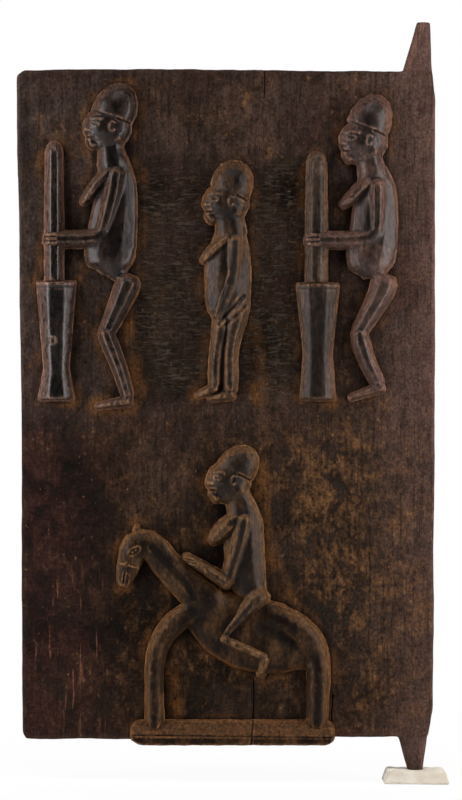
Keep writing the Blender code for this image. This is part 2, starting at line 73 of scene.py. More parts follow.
# The group of each carving, in the order that the carvings are made
GROUPS = {
    "left_mortar": LEFT_GROUP, "left_pestle": LEFT_GROUP, "left_pounder": LEFT_GROUP,
    "right_mortar": RIGHT_GROUP, "right_pestle": RIGHT_GROUP, "right_pounder": RIGHT_GROUP,
    "middle_figure": MIDDLE, "plinth": PLINTH, "horse": PLINTH, "rider": PLINTH,
}

# The photograph's framing
PIXEL = 1.1
CAMERA_DISTANCE = 4.0
SENSOR_WIDTH = 36.0
PHOTO_SIZE = (462, 800)
LOWER_TIP_PIXEL = (416.0, 774.0)

# How fine each skin is, and how close points are welded, in millimetres
CARVING_VOXEL = 0.9
PLANK_VOXEL = 2.2
STONE_VOXEL = 1.0
WELD = 0.001

# How far the noise moves along each axis from one seed to the next
SEED_STEPS = (17.3, 7.1, 3.7)
FIRST_CARVING_SEED = 30


# Meshes in the drawing frame


def skin_of(node, transform, voxel):
    """A node's solid, moved by transform and rebuilt as an even skin of small faces in a new mesh."""
    bm = bmesh.new()
    bm.from_mesh(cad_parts[node].data)
    bm.transform(transform)
    bmesh.ops.remove_doubles(bm, verts=bm.verts, dist=WELD)
    solid = bpy.data.meshes.new("work")
    bm.to_mesh(solid)
    bm.free()
    work = bpy.data.objects.new("work", solid)
    bpy.context.scene.collection.objects.link(work)
    remesh = work.modifiers.new("skin", "REMESH")
    remesh.mode = "VOXEL"
    remesh.voxel_size = voxel
    graph = bpy.context.evaluated_depsgraph_get()
    skin = bpy.data.meshes.new_from_object(work.evaluated_get(graph))
    bpy.data.objects.remove(work)
    bpy.data.meshes.remove(solid)
    return skin


def vectors(collection, field):
    """One field of every item of a collection, as rows of three numbers."""
    flat = np.empty(len(collection) * 3, dtype=np.float32)
    collection.foreach_get(field, flat)
    return flat.reshape(-1, 3).astype(np.float64)


def positions(mesh):
    return vectors(mesh.vertices, "co")


def normals(mesh):
    return vectors(mesh.vertex_normals, "vector")


def set_positions(mesh, points):
    mesh.vertices.foreach_set("co", points.astype(np.float32).ravel())
    mesh.update()


def edge_ends(mesh):
    flat = np.empty(len(mesh.edges) * 2, dtype=np.int32)
    mesh.edges.foreach_get("vertices", flat)
    return flat.reshape(-1, 2)


def neighbour_mean(values, edges):
    """The mean of each vertex's neighbours, for a column or an array of columns."""
    values = values.reshape(len(values), -1)
    start, end = np.concatenate([edges, edges[:, ::-1]]).T
    count = np.maximum(np.bincount(start, minlength=len(values)), 1)
    columns = [np.bincount(start, column[end], len(values)) / count for column in values.T]
    return np.stack(columns, axis=1)


def smoothed(values, edges, rounds, share=0.5):
    """Values drawn to their neighbours' mean, by one share for all or a column of shares."""
    shape = values.shape
    values = values.reshape(len(values), -1)
    for _ in range(rounds):
        values = values + share * (neighbour_mean(values, edges) - values)
    return values.reshape(shape)


def noise_at(points, size, seed):
    """Smooth noise from -1 to 1 that changes over about size millimetres."""
    shift = Vector([seed * step for step in SEED_STEPS])
    return np.array([noise.noise(Vector(p) / size + shift) for p in points])


def distance_to_line(points, line):
    """Distance in the plane of the drawing from each point to a line of (x, y) points."""
    best = np.full(len(points), np.inf)
    flat = points[:, :2]
    for start, end in zip(line[:-1], line[1:]):
        start, end = np.array(start, dtype=float), np.array(end, dtype=float)
        along = end - start
        share = np.clip((flat - start) @ along / max(along @ along, 1e-9), 0, 1)
        best = np.minimum(best, np.linalg.norm(flat - (start + share[:, None] * along), axis=1))
    return best


def soft_step(values, low, high):
    """A smooth rise from 0 at low to 1 at high."""
    share = np.clip((values - low) / (high - low), 0, 1)
    return share * share * (3 - 2 * share)


def soft_fall(values, low, high):
    """A smooth fall from 1 at low to 0 at high."""
    return 1 - soft_step(values, low, high)


def soft_band(values, low, full, fade, high):
    """1 between full and fade, with a smooth rise from low and a smooth fall to high."""
    return soft_step(values, low, full) * soft_fall(values, fade, high)


def convexity(mesh, rounds):
    """How far each vertex stands out of the form round it. More rounds look further round."""
    edges, points = edge_ends(mesh), positions(mesh)
    wide = smoothed(points, edges, rounds)
    return smoothed(np.einsum("ij,ij->i", points - wide, normals(mesh)), edges, 2)


def keep_values(mesh, name, values):
    """Keeps one value for each vertex, which a material reads by its name."""
    attribute = mesh.attributes.new(name, "FLOAT", "POINT")
    attribute.data.foreach_set("value", values.astype(np.float32))


def new_piece(name, mesh, material):
    """A smoothly shaded object made of a mesh, with its material."""
    mesh.polygons.foreach_set("use_smooth", [True] * len(mesh.polygons))
    mesh.materials.clear()
    mesh.materials.append(material)
    piece = bpy.data.objects.new(name, mesh)
    bpy.context.scene.collection.objects.link(piece)
    return piece


def leaf_piece(name, mesh, material, replaced):
    """Puts a mesh of the drawing frame on the door, in place of a node."""
    mesh.transform(LEAF)
    piece = new_piece(name, mesh, material)
    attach(piece, "door")
    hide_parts(replaced)


# Lines cut into or standing on a carving, each as (line, half width, height)


def ring(x, y, half_length, half_height, turn, start=0, end=360, steps=14):
    """An oval, or a stretch of one, as a line of points."""
    cos, sin = math.cos(math.radians(turn)), math.sin(math.radians(turn))
    line = []
    for step in range(steps + 1):
        angle = math.radians(start + (end - start) * step / steps)
        across, up = half_length * math.cos(angle), half_height * math.sin(angle)
        line.append((x + across * cos - up * sin, y + across * sin + up * cos))
    return line


def between(start, end, share):
    """The point at a share of the way from start to end."""
    return [a + share * (b - a) for a, b in zip(start, end)]


def face_lines(x, y, a, b):
    """One plain carved face, looking left, for a head in the middle of (x, y) with half sizes a and b."""

    def at(across, up):
        return (x + across * a, y + up * b)

    brow = [at(-0.78, 0.38), at(-0.50, 0.42), at(-0.20, 0.34)]
    eye = ring(*at(-0.50, 0.14), 0.19 * a, 0.11 * b, -8)
    nose = [at(-0.92, -0.10), at(-0.74, -0.14)]
    upper_lip = [at(-0.86, -0.37), at(-0.60, -0.40)]
    mouth = [at(-0.88, -0.48), at(-0.58, -0.49)]
    lower_lip = [at(-0.82, -0.59), at(-0.60, -0.58)]
    ear = ring(*at(0.22, 0.02), 0.13 * a, 0.22 * b, -14, 60, 320, 9)
    return [
        (brow, 3.2, 1.2), (eye, 1.5, 0.7), (nose, 2.6, 1.2), (upper_lip, 2.3, 0.8),
        (mouth, 1.5, -0.8), (lower_lip, 2.3, 0.7), (ear, 2.0, 1.0),
    ]


def rim_lines(front, back, brow_depth):
    """The edge of a cap: a thin cut over the brow and a deeper one at the nape."""
    brow = [front, between(front, back, 0.62)]
    nape = [between(front, back, 0.6), back]
    return [(brow, 1.9, -brow_depth), (nape, 2.2, -1.7)]


def finger_lines(tips, knuckles, fingers=5):
    """The fingers of a hand, as ridges with cuts between them.

    They run from the line of the tips to the line of the knuckles, and each line is given by its ends.
    """
    half_width, ridge, cut = 1.5, 1.1, -1.6
    strips = 2 * fingers - 1
    lines = []
    for strip in range(strips):
        share = (strip + 0.5) / strips
        finger = [between(*tips, share), between(*knuckles, share)]
        lines.append((finger, half_width, cut if strip % 2 else ridge))
    return lines


def mortar_lines(height):
    """The raised lip of a mortar and the cut under it."""
    lip = [(-26, height - 2), (26, height - 2)]
    cut = [(-26, height - 6), (26, height - 6)]
    return [(lip, 2.4, 0.9), (cut, 2.0, -0.6)]


def arm_lines():
    """The two folds under the middle figure's arm, and the arm's own ridge."""
    return [
        ([(20.6, 114), (4.9, 97), (-6.6, 84)], 4.0, -1.5),
        ([(25, 106), (12, 92), (0, 82)], 3.6, -1.2),
        ([(4.4, 175), (4.4, 136), (-4, 112), (-11.5, 92)], 2.4, 1.3),
    ]


def horse_lines():
    """The horse's eye, bridle and mouth, the groove along its neck and the hollow of its flank."""
    eye = [(ring(-107.7, 213.5, 8.0, 3.8, 34), 1.5, 1.4), ([(-109.5, 212.3), (-105.9, 214.7)], 2.2, 0.9)]
    bridle = [
        ([(-124, 200), (-115.7, 198.5), (-104, 195)], 1.8, 1.4),
        (ring(-115.5, 199, 2.2, 2.2, 0), 1.6, 1.2),
    ]
    mouth = [([(-117.7, 190), (-119.8, 178)], 1.4, -2.2), (ring(-115.5, 183, 2.6, 6.4, -8), 1.4, 1.0)]
    neck = ([(-87, 218), (-70, 199), (-52, 179), (-42, 163)], 6.0, -1.5)
    flank = ([(36, 128), (50, 123), (64, 114)], 13.0, -2.6)
    return eye + bridle + mouth + [neck, flank]


def left_knot():
    """The knot on the left mortar."""
    return [(ring(-2.5, 65, 3.0, 3.6, 0), 2.4, 1.1)]


# The lines of each carving, measured from its group's own origin
LINES = {
    "left_mortar": mortar_lines(129.0) + left_knot(),
    "right_mortar": mortar_lines(127.0),
    "left_pounder": (
        face_lines(56, 299, 26, 23)
        + rim_lines((34, 320), (90, 300), 1.0)
        + finger_lines(((-12, 187), (-12, 165)), ((0, 187), (0, 165)))
    ),
    "right_pounder": (
        face_lines(50, 284, 26, 23)
        + rim_lines((28, 308), (84, 286), 1.0)
        + finger_lines(((-12, 186), (-12, 164)), ((0, 186), (0, 164)))
    ),
    "middle_figure": face_lines(1, 217, 25, 22) + rim_lines((-18, 238), (34, 214), 0.2) + arm_lines(),
    "rider": (
        face_lines(-4, 291, 24, 22)
        + rim_lines((-22, 312), (26, 288), 0.3)
        + finger_lines(((-55, 208), (-50, 200)), ((-44, 206), (-41, 198)), 3)
    ),
    "horse": horse_lines(),
    "plinth": [([(23.0, 30), (20.5, 0)], 1.0, -2.0), ([(-108, 12), (108, 10)], 1.6, -0.9)],
}


# Carvings

# How many rounds of smoothing turn the facets of a carving into its soft forms
ROUNDS = {
    "left_mortar": 50, "left_pestle": 30, "left_pounder": 14, "right_mortar": 50, "right_pestle": 30,
    "right_pounder": 14, "middle_figure": 10, "plinth": 8, "horse": 26, "rider": 12,
}

# Where the forms of a carving flow into each other: (x, y, reach)
BLENDS = {
    "left_pounder": [
        (49, 262, 13), (62, 266, 12), (77, 262, 13), (70, 136, 20), (50, 178, 10), (42, 317, 11),
        (54, 313, 15), (66, 309, 13), (56, 286, 10), (38, 158, 16), (56, 140, 20), (80, 156, 14),
    ],
    "right_pounder": [
        (47, 249, 13), (60, 254, 12), (74, 249, 13), (66, 132, 20), (63, 179, 10), (36, 305, 11),
        (48, 300, 15), (60, 296, 13), (50, 271, 10), (38, 155, 16), (55, 138, 20), (78, 154, 14),
    ],
    "middle_figure": [
        (-6, 186, 12), (7, 189, 12), (20, 186, 12), (8, 90, 18), (8, 131, 8), (-10, 235, 10),
        (1, 230, 13), (12, 225, 12), (1, 204, 10), (-15, 124, 16), (22, 118, 14),
    ],
    "rider": [
        (-3, 261, 12), (9, 264, 12), (24, 261, 12), (28, 166, 14), (-14, 309, 10), (-4, 304, 12),
        (7, 299, 12), (-4, 278, 10),
    ],
    "horse": [
        (-22, 158, 34), (36, 138, 26), (94, 92, 16), (-104, 232, 8), (-70, 212, 14), (-46, 146, 16),
        (88, 112, 16),
    ],
}

# Dark bands painted on a carving: painted shade along its shaded facets, creases and hollows, and a dark
# line along the plinth's crack: (line, half width)
SHADE_AND_CRACK_BANDS = {
    "horse": [
        ([(-88, 219), (-70, 199), (-52, 179), (-42, 163)], 9.0),
        ([(-44, 148), (-57, 128), (-72, 107), (-77, 85), (-77, 60)], 6.0),
        ([(36, 127), (52, 120), (66, 110)], 10.0),
        ([(84, 84), (83, 60), (82, 32)], 4.0),
    ],
    "middle_figure": [
        ([(11, 172), (10, 146), (7, 128), (-4, 100)], 5.0),
        ([(-3, 80), (-3, 40), (-3, 14)], 3.5),
    ],
    "rider": [
        ([(12, 246), (9, 228), (0, 198), (-5, 182)], 5.0),
        ([(26, 150), (8, 132), (-6, 116)], 4.0),
    ],
    "plinth": [([(23.0, 30), (20.5, 0)], 1.8)],
}

# The lowest point of a belly and how far it is drawn up: (x, y, lift)
BELLIES = {"left_pounder": (50.0, 130.0, 8.0), "right_pounder": (55.0, 128.0, 5.0)}

# How far the underside of the plinth is worn back, and how much more at its left end
UNDERSIDE_WEAR = 1.6
LEFT_END_WEAR = 2.6

# The foot of a carving: how far and how high it flares, and how deep its lowest points go into the ground
FLARE = 2.6
FLARE_HEIGHT = 6.0
SEAM_HEIGHT = 0.9
SUNK = -0.8

# Pieces whose names start so are the pounding figures and their tools
POUNDING = ("left", "right")


def on_leaf(line, group):
    """A line of a group, measured in the drawing frame."""
    return [(x + group[0], y + group[1]) for x, y in line]


def wear_underside(mesh):
    """Wears the underside of the plinth back a little."""
    points = positions(mesh)
    left_end = soft_fall(points[:, 0] - PLINTH[0], -113.0, -96.0)
    underside = soft_fall(points[:, 1] - PLINTH[1], 1.0, 9.0)
    points[:, 1] += (UNDERSIDE_WEAR + LEFT_END_WEAR * left_end) * underside
    set_positions(mesh, points)


def draw_up_belly(mesh, belly, group):
    """Draws the bottom of a belly up into a rounder form."""
    x, y, lift = belly
    points = positions(mesh)
    across = points[:, 0] - group[0] - x
    above = points[:, 1] - group[1] - y
    near = soft_band(across, -26, -6, 3, 15) * soft_step(above, -8, -3)
    points[:, 1] += lift * near * soft_fall(above, 3, 30)
    set_positions(mesh, points)


def round_off(mesh, rounds):
    """Eases the facets of a carving into soft forms, with its foot held in place."""
    edges = edge_ends(mesh)
    points = smoothed(positions(mesh), edges, 2)
    free = soft_step(points[:, 2:], 0.5, 5.0)
    set_positions(mesh, smoothed(points, edges, rounds, 0.5 * free))


def blend_forms(mesh, places, group):
    """Lets the forms of a carving flow into each other round a few places (x, y, reach)."""
    points, edges = positions(mesh), edge_ends(mesh)
    weight = np.zeros(len(points))
    for x, y, reach in places:
        away = np.hypot(points[:, 0] - x - group[0], points[:, 1] - y - group[1])
        weight = np.maximum(weight, soft_fall(away, 0.4 * reach, reach))
    weight *= soft_step(points[:, 2], 1.0, 4.0)
    set_positions(mesh, smoothed(points, edges, 60, 0.6 * weight[:, None]))


def cut_lines(mesh, lines, group):
    """Raises or lowers the front of a carving along its lines."""
    points, outward = positions(mesh), normals(mesh)
    facing = soft_step(outward[:, 2], 0.0, 0.45)
    lift = np.zeros(len(points))
    for line, half_width, height in lines:
        away = distance_to_line(points, on_leaf(line, group))
        lift += height * soft_fall(away, 0.0, half_width) * facing
    set_positions(mesh, points + outward * lift[:, None])


def hand_cut(mesh, uneven, seed):
    """Makes a carving a little uneven, as a hand tool leaves it."""
    points, outward = positions(mesh), normals(mesh)
    hand = 0.5 * noise_at(points, 13.0, seed) + 0.25 * noise_at(points, 5.0, seed + 1)
    set_positions(mesh, points + outward * (0.2 + uneven * hand)[:, None])


def flare_foot(mesh):
    """Spreads a carving's foot into the ground, as the tool leaves it, and closes the seam under it."""
    points, outward = positions(mesh), normals(mesh)
    sideways = outward.copy()
    sideways[:, 2] = 0
    length = np.linalg.norm(sideways, axis=1, keepdims=True)
    sideways = np.where(length > 0.2, sideways / np.maximum(length, 1e-6), 0)
    spread = FLARE * soft_fall(points[:, 2], 0.0, FLARE_HEIGHT) ** 2
    points += sideways * spread[:, None]
    points[:, 2] = np.where(points[:, 2] < SEAM_HEIGHT, SUNK, points[:, 2])
    set_positions(mesh, points)


def shade_and_crack_bands(points, name):
    """How dark the painted shade bands, and the line along the plinth's crack, make each point of a
    carving, from 0 to 1.
    """
    dark = np.zeros(len(points))
    for line, half_width in SHADE_AND_CRACK_BANDS.get(name, []):
        away = distance_to_line(points, on_leaf(line, GROUPS[name]))
        dark = np.maximum(dark, soft_fall(away, 0.2 * half_width, half_width))
    return dark


def keep_wear_and_shade(mesh, name):
    """Keeps where a carving has dust, wear, hollows and a golden foot, for its material. The dark of its
    hollows and shade bands is painted shade, and so is the lack of dust on its undersides and on the
    right-facing sides of the left group.
    """
    points = positions(mesh)
    edges_out, forms_out = convexity(mesh, 9), convexity(mesh, 60)
    sideways, upwards, facing = smoothed(normals(mesh), edge_ends(mesh), 2).T
    # Dust on the slopes; leaving it off the undersides paints the shade under the forms.
    dust_and_painted_shade = soft_fall(facing, 0.55, 0.95) * (0.4 + 0.6 * soft_step(upwards, -0.5, 0.3))
    # Painted shade: the left group's right-facing slopes, away from their lamp, get less dust and stay
    # dark.
    if name.startswith("left"):
        dust_and_painted_shade *= 1 - 0.6 * soft_step(sideways, 0.1, 0.6)
    # Painted shade: hollows and creases, found by how far the skin lies inside the form round it, are
    # darkened as shade would darken them.
    hollow = np.maximum(soft_step(-edges_out, 0.04, 0.24), 0.9 * soft_step(-forms_out, 0.2, 1.2))
    golden_foot = soft_fall(points[:, 2], 1.5, 7.5)
    if name.startswith(POUNDING):
        golden_foot *= 0.25 + 0.75 * soft_step(sideways, -0.3, 0.4)
    keep_values(mesh, "slope", dust_and_painted_shade)
    keep_values(mesh, "wear", soft_step(edges_out, 0.05, 0.26))
    # The painted shade of the hollows and of the bands is kept together as hollow.
    keep_values(mesh, "hollow", np.maximum(hollow, 0.75 * shade_and_crack_bands(points, name)))
    keep_values(mesh, "foot", golden_foot)


def carving(name, seed):
    """The mesh of a worn, hand-cut carving, made from its plain solid."""
    group = GROUPS[name]
    mesh = skin_of(name, LEAF.inverted(), CARVING_VOXEL)
    if name == "plinth":
        wear_underside(mesh)
    if name in BELLIES:
        draw_up_belly(mesh, BELLIES[name], group)
    round_off(mesh, ROUNDS[name])
    blend_forms(mesh, BLENDS.get(name, []), group)
    cut_lines(mesh, LINES.get(name, []), group)
    hand_cut(mesh, 0.4 if name.startswith(POUNDING) else 0.8, seed)
    flare_foot(mesh)
    keep_wear_and_shade(mesh, name)
    return mesh


# Materials


class Nodes:
    """A short way to add nodes to a material or a world and join them."""

    def __init__(self, owner):
        owner.use_nodes = True
        self.owner = owner
        self.tree = owner.node_tree

    def add(self, kind, inputs=None, **settings):
        made = self.tree.nodes.new(kind)
        for key, value in settings.items():
            setattr(made, key, value)
        for key, value in (inputs or {}).items():
            self.feed(made.inputs[key], value)
        return made

    def feed(self, socket, value):
        """Links a socket to another one, or sets it to a constant."""
        if isinstance(value, bpy.types.NodeSocket):
            self.tree.links.new(value, socket)
        else:
            socket.default_value = value

    def set_shader(self, **values):
        """Feeds the shader's sockets, whose names are given with _ for each space."""
        for key, value in values.items():
            self.feed(self.shader().inputs[key.replace("_", " ")], value)

    def shader(self):
        return self.tree.nodes["Principled BSDF"]

    def stretched(self, scale):
        """Object coordinates stretched by scale, in repeats per metre along x, y and z."""
        coordinates = self.add("ShaderNodeTexCoord").outputs["Object"]
        return self.add("ShaderNodeMapping", {"Vector": coordinates, "Scale": scale}).outputs["Vector"]

    def noise(self, scale, detail=3.0, roughness=0.5, distortion=0.0):
        inputs = {
            "Vector": self.stretched(scale), "Scale": 1.0, "Detail": detail, "Roughness": roughness,
            "Distortion": distortion,
        }
        return self.add("ShaderNodeTexNoise", inputs).outputs["Fac"]

    def value(self, name):
        """A value that was kept for each vertex."""
        return self.add("ShaderNodeAttribute", attribute_name=name).outputs["Fac"]

    def step(self, value, low, high):
        """A smooth rise from 0 at low to 1 at high."""
        inputs = {"Value": value, "From Min": low, "From Max": high}
        return self.add("ShaderNodeMapRange", inputs, interpolation_type="SMOOTHSTEP").outputs["Result"]

    def ranged(self, value, low, high, to_low, to_high):
        """A value carried evenly from one range to another."""
        inputs = {"Value": value, "From Min": low, "From Max": high, "To Min": to_low, "To Max": to_high}
        return self.add("ShaderNodeMapRange", inputs).outputs["Result"]

    def math(self, operation, first, second, clamp=False):
        made = self.add("ShaderNodeMath", {0: first, 1: second}, operation=operation, use_clamp=clamp)
        return made.outputs[0]

    def times(self, first, second):
        return self.math("MULTIPLY", first, second)

    def mix(self, share, first, second):
        made = self.add("ShaderNodeMix", data_type="RGBA")
        self.feed(made.inputs["Factor"], share)
        self.feed(made.inputs["A"], first if isinstance(first, bpy.types.NodeSocket) else (*first, 1))
        self.feed(made.inputs["B"], second if isinstance(second, bpy.types.NodeSocket) else (*second, 1))
        return made.outputs["Result"]

    def tinted(self, colour, cover, strength, tint):
        """A colour with a tint over it, at strength where cover is 1."""
        return self.mix(self.times(cover, strength), colour, tint)

    def scaled(self, colour, factor):
        inputs = {0: colour, "Scale": factor}
        return self.add("ShaderNodeVectorMath", inputs, operation="SCALE").outputs["Vector"]

    def bump(self, height, distance, strength=1.0, before=None):
        inputs = {"Height": height, "Distance": distance, "Strength": strength}
        if before is not None:
            inputs["Normal"] = before
        return self.add("ShaderNodeBump", inputs).outputs["Normal"]


def carved_wood(name, dark, brown, golden, mottling, gloss, polish, tooling):
    """Handled wood: dark and sleek on the faces, brown on slopes and ridges, golden at the ground, and
    darkened by painted shade in its hollows and creases.
    """
    nodes = Nodes(bpy.data.materials.new(name))
    grain = nodes.noise((380, 380, 26), 5.0, 0.65)
    cloud = nodes.noise((46, 46, 24), 4.0, 0.6)
    speck = nodes.noise((300, 300, 120), 5.0, 0.7)
    grit = nodes.noise((320, 320, 210), 3.0, 0.65)
    tool = nodes.noise((150, 150, 90), 3.0, 0.55)

    # Colour
    # slope: brown dust on the slopes, left off the undersides and the left group's right-facing sides as
    # painted shade.
    slope = nodes.times(nodes.value("slope"), nodes.step(speck, 0.22, 0.58))
    worn = nodes.times(nodes.value("wear"), nodes.step(speck, 0.35, 0.62))
    foot = nodes.times(nodes.value("foot"), nodes.step(cloud, 0.38, 0.62))
    hollow = nodes.value("hollow")
    colour = nodes.tinted(dark, nodes.step(cloud, 0.42, 0.72), mottling, brown)
    colour = nodes.tinted(colour, slope, 0.95, brown)
    colour = nodes.tinted(colour, worn, 0.75, golden)
    colour = nodes.mix(foot, colour, (0.105, 0.041, 0.014))
    # Painted shade: the hollows, creases and shade bands are darkened nearly to black.
    colour = nodes.tinted(colour, hollow, 0.9, (0.002, 0.0016, 0.0012))
    colour = nodes.tinted(colour, nodes.step(grain, 0.46, 0.68), 0.6, (0.003, 0.0025, 0.002))
    colour = nodes.scaled(colour, nodes.ranged(grit, 0.25, 0.75, 0.3, 1.85))

    # Sheen and relief
    rough = nodes.math("MAXIMUM", foot, nodes.times(nodes.step(speck, 0.35, 0.85), 0.5))
    rough = nodes.math("MAXIMUM", rough, hollow)
    roughness = nodes.ranged(rough, 0.0, 1.0, polish, 0.85)
    normal = nodes.bump(tool, 0.0012, 0.25 * tooling)
    normal = nodes.bump(speck, 0.0007, 0.22 * tooling, normal)
    normal = nodes.bump(grain, 0.0005, 0.35 * tooling, normal)
    normal = nodes.bump(grit, 0.0005, 0.22 * tooling, normal)
    nodes.set_shader(Specular_IOR_Level=gloss, Specular_Tint=(1.0, 0.90, 0.88, 1))
    nodes.set_shader(Base_Color=colour, Roughness=roughness, Normal=normal)
    return nodes.owner


# Woods of the carvings: dark, brown and golden colour, mottling, gloss, polish, depth of the tool marks
WOODS = {
    "black_tool": (
        (0.0026, 0.0020, 0.0019), (0.122, 0.069, 0.053), (0.225, 0.116, 0.075), 0.12, 0.36, 0.24, 0.25,
    ),
    "brown_tool": (
        (0.0110, 0.0075, 0.0055), (0.104, 0.064, 0.044), (0.180, 0.090, 0.048), 0.60, 0.16, 0.34, 1.0,
    ),
    "dark_figure": (
        (0.0026, 0.0020, 0.0018), (0.086, 0.047, 0.034), (0.200, 0.100, 0.055), 0.22, 0.27, 0.27, 0.50,
    ),
    "warm_figure": (
        (0.0090, 0.0056, 0.0045), (0.128, 0.068, 0.051), (0.220, 0.110, 0.068), 0.70, 0.29, 0.32, 1.0,
    ),
    "brown_figure": (
        (0.0080, 0.0044, 0.0025), (0.124, 0.063, 0.028), (0.235, 0.115, 0.045), 0.50, 0.17, 0.38, 1.5,
    ),
    "middle_wood": (
        (0.0070, 0.0042, 0.0028), (0.112, 0.058, 0.030), (0.225, 0.112, 0.050), 0.48, 0.19, 0.36, 1.5,
    ),
    "horse_wood": (
        (0.0070, 0.0036, 0.0020), (0.118, 0.056, 0.022), (0.240, 0.112, 0.042), 0.48, 0.10, 0.38, 1.8,
    ),
    "red_bar": (
        (0.0080, 0.0040, 0.0022), (0.108, 0.049, 0.020), (0.190, 0.085, 0.032), 0.60, 0.08, 0.42, 0.6,
    ),
}

# The wood of each carving
WOOD_OF = {
    "left_mortar": "black_tool", "left_pestle": "black_tool", "left_pounder": "dark_figure",
    "right_mortar": "brown_tool", "right_pestle": "brown_tool", "right_pounder": "warm_figure",
    "middle_figure": "middle_wood", "plinth": "red_bar", "horse": "horse_wood", "rider": "brown_figure",
}


def plank_wood():
    """Hewn ground: dark mottled brown with upright grain, cross tool marks, golden patches, pale edges."""
    nodes = Nodes(bpy.data.materials.new("hewn_plank"))
    grain = nodes.noise((330, 60, 18), 6.0, 0.7)
    streak = nodes.noise((120, 30, 7), 4.0, 0.6)
    scratch = nodes.noise((300, 40, 20), 3.0, 0.6)
    dash = nodes.noise((80, 80, 340), 3.0, 0.6, 0.8)
    mottle = nodes.noise((84, 60, 56), 8.0, 0.78)
    grit = nodes.noise((430, 430, 330), 3.0, 0.65)
    patch = nodes.noise((34, 34, 28), 5.0, 0.65, 0.5)
    fleck = nodes.noise((210, 210, 150), 3.0, 0.6)
    broken = nodes.math("ADD", nodes.times(patch, 0.6), nodes.times(fleck, 0.4))

    # Brown ground, greener between the figures, greyer at the upper left and paler at the edges
    mottled = nodes.step(mottle, 0.30, 0.72)
    colour = nodes.mix(mottled, (0.0150, 0.0076, 0.0050), (0.070, 0.0375, 0.0255))
    colour = nodes.tinted(colour, nodes.step(streak, 0.5, 0.74), 0.4, (0.076, 0.041, 0.027))
    olive = nodes.times(nodes.value("chatter"), nodes.step(patch, 0.30, 0.60))
    colour = nodes.tinted(colour, olive, 0.55, (0.024, 0.0185, 0.0130))
    ash = nodes.mix(mottled, (0.0170, 0.0112, 0.0095), (0.078, 0.0535, 0.0470))
    colour = nodes.tinted(colour, nodes.value("ashy"), 0.8, ash)
    colour = nodes.scaled(colour, nodes.value("tone"))
    colour = nodes.tinted(colour, nodes.value("pale"), 0.6, (0.112, 0.062, 0.052))
    colour = nodes.tinted(colour, nodes.value("bevel"), 0.8, (0.230, 0.120, 0.090))

    # Golden, sooty and plum-coloured patches, and small golden spots
    golden = nodes.times(nodes.step(broken, 0.46, 0.66), nodes.value("golden"))
    colour = nodes.tinted(colour, golden, 0.78, (0.140, 0.066, 0.026))
    sooty = nodes.times(nodes.step(broken, 0.51, 0.37), nodes.value("golden"))
    colour = nodes.tinted(colour, sooty, 0.7, (0.0125, 0.0110, 0.0085))
    colour = nodes.tinted(colour, nodes.step(broken, 0.59, 0.67), 0.6, (0.135, 0.062, 0.026))
    plum = nodes.times(nodes.value("purple"), nodes.step(patch, 0.3, 0.6))
    colour = nodes.tinted(colour, plum, 0.7, (0.026, 0.0095, 0.0085))

    # Scratches, the glow round the carvings, flecks, grain and grit
    scored = nodes.times(nodes.value("scored"), nodes.step(scratch, 0.60, 0.70))
    colour = nodes.tinted(colour, scored, 0.8, (0.125, 0.048, 0.026))
    halo = nodes.times(nodes.value("halo"), nodes.step(mottle, 0.30, 0.56))
    colour = nodes.tinted(colour, halo, 0.9, (0.122, 0.049, 0.0145))
    colour = nodes.tinted(colour, nodes.step(fleck, 0.66, 0.76), 0.7, (0.160, 0.088, 0.038))
    colour = nodes.tinted(colour, nodes.step(grain, 0.48, 0.68), 0.6, (0.006, 0.004, 0.003))
    colour = nodes.scaled(colour, nodes.ranged(grit, 0.25, 0.75, 0.38, 1.74))

    # Cross marks of the adze, shaded corners and open checks
    marks = nodes.times(nodes.step(dash, 0.47, 0.65), nodes.value("chatter"))
    marks = nodes.times(marks, nodes.step(patch, 0.28, 0.52))
    colour = nodes.tinted(colour, marks, 0.75, (0.064, 0.046, 0.033))
    # Painted shade: the ground that the carvings close in is darkened.
    colour = nodes.scaled(colour, nodes.value("open"))
    colour = nodes.mix(nodes.value("crack"), colour, (0.002, 0.002, 0.002))

    # Relief
    normal = nodes.bump(marks, 0.0012, 0.9)
    normal = nodes.bump(mottle, 0.0016, 0.5, normal)
    normal = nodes.bump(grain, 0.0007, 0.6, normal)
    normal = nodes.bump(grit, 0.0008, 0.5, normal)
    nodes.set_shader(Specular_IOR_Level=0.04, Base_Color=colour, Roughness=0.6, Normal=normal)
    return nodes.owner


def stone_look():
    """Pale gritty sandstone."""
    nodes = Nodes(bpy.data.materials.new("sandstone"))
    grit = nodes.noise((900, 900, 900), 3.0, 0.6)
    cloud = nodes.noise((45, 45, 60), 3.0, 0.5)
    colour = nodes.mix(nodes.step(cloud, 0.3, 0.7), (0.66, 0.60, 0.52), (0.54, 0.47, 0.38))
    colour = nodes.tinted(colour, nodes.step(grit, 0.55, 0.75), 0.3, (0.36, 0.30, 0.24))
    nodes.set_shader(Base_Color=colour, Roughness=0.92, Normal=nodes.bump(grit, 0.0007, 0.6))
    return nodes.owner


# Plank

# Drying checks in the front of the leaf: (line, half width)
CHECKS = [
    ([(-166.5, 776), (-166.2, 758), (-167.2, 744)], 0.7),
    ([(-178.5, 106), (-178.2, 84), (-179.3, 60), (-181.5, 38)], 0.8),
    ([(-91.5, 88), (-93.0, 66), (-92.2, 38)], 0.7),
]
CHECK_DEPTH = 5.0
CHECK_REACH = 4.5

# The rubbed corner of the upper pin
PIN_BEVEL = [(-13.0, 772.0), (5.0, 826.0)]

